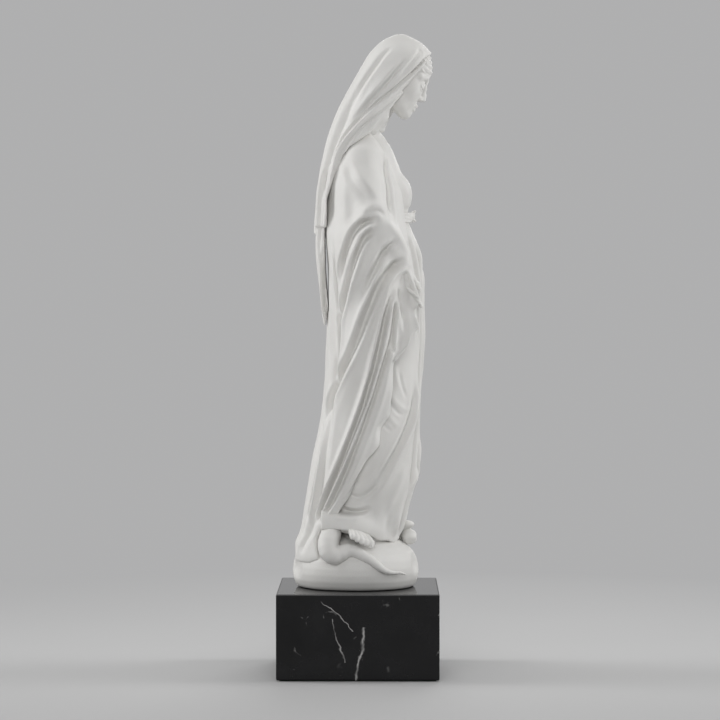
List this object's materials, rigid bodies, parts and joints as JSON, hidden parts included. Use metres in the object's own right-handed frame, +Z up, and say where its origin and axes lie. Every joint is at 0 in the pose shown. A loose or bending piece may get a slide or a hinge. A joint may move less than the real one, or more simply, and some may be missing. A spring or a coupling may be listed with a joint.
{
  "type": "madonna statue",
  "caption": "Draped standing figure with bowed head and open hands on a rounded mound with a serpent, bolted to a polished stone block.",
  "frame": {"origin": "centre of the felt's underside, where the statue stands on its table", "axes": "+Z up, the figure faces -Y, its own left is +X"},
  "size_m": [0.17, 0.15, 0.6],
  "materials": {
    "cast_marble": "fine matte",
    "black_marble": "polished",
    "steel": "zinc plated",
    "brass": "plain",
    "felt": "felt"
  },
  "bodies": {
    "root": {"plinth": "black_marble", "felt_sheet": "felt", "fixing_stud": "steel", "fixing_washer": "steel", "fixing_nut": "steel", "threaded_sleeve": "brass", "mound": "cast_marble", "foot_dowels": "steel", "serpent": "cast_marble", "right_foot": "cast_marble", "left_foot": "cast_marble", "gown": "cast_marble", "sash": "cast_marble", "mantle": "cast_marble", "veil": "cast_marble", "head": "cast_marble", "neck_dowel": "steel", "right_hand": "cast_marble", "left_hand": "cast_marble", "hand_pins": "steel"}
  },
  "joints": []
}
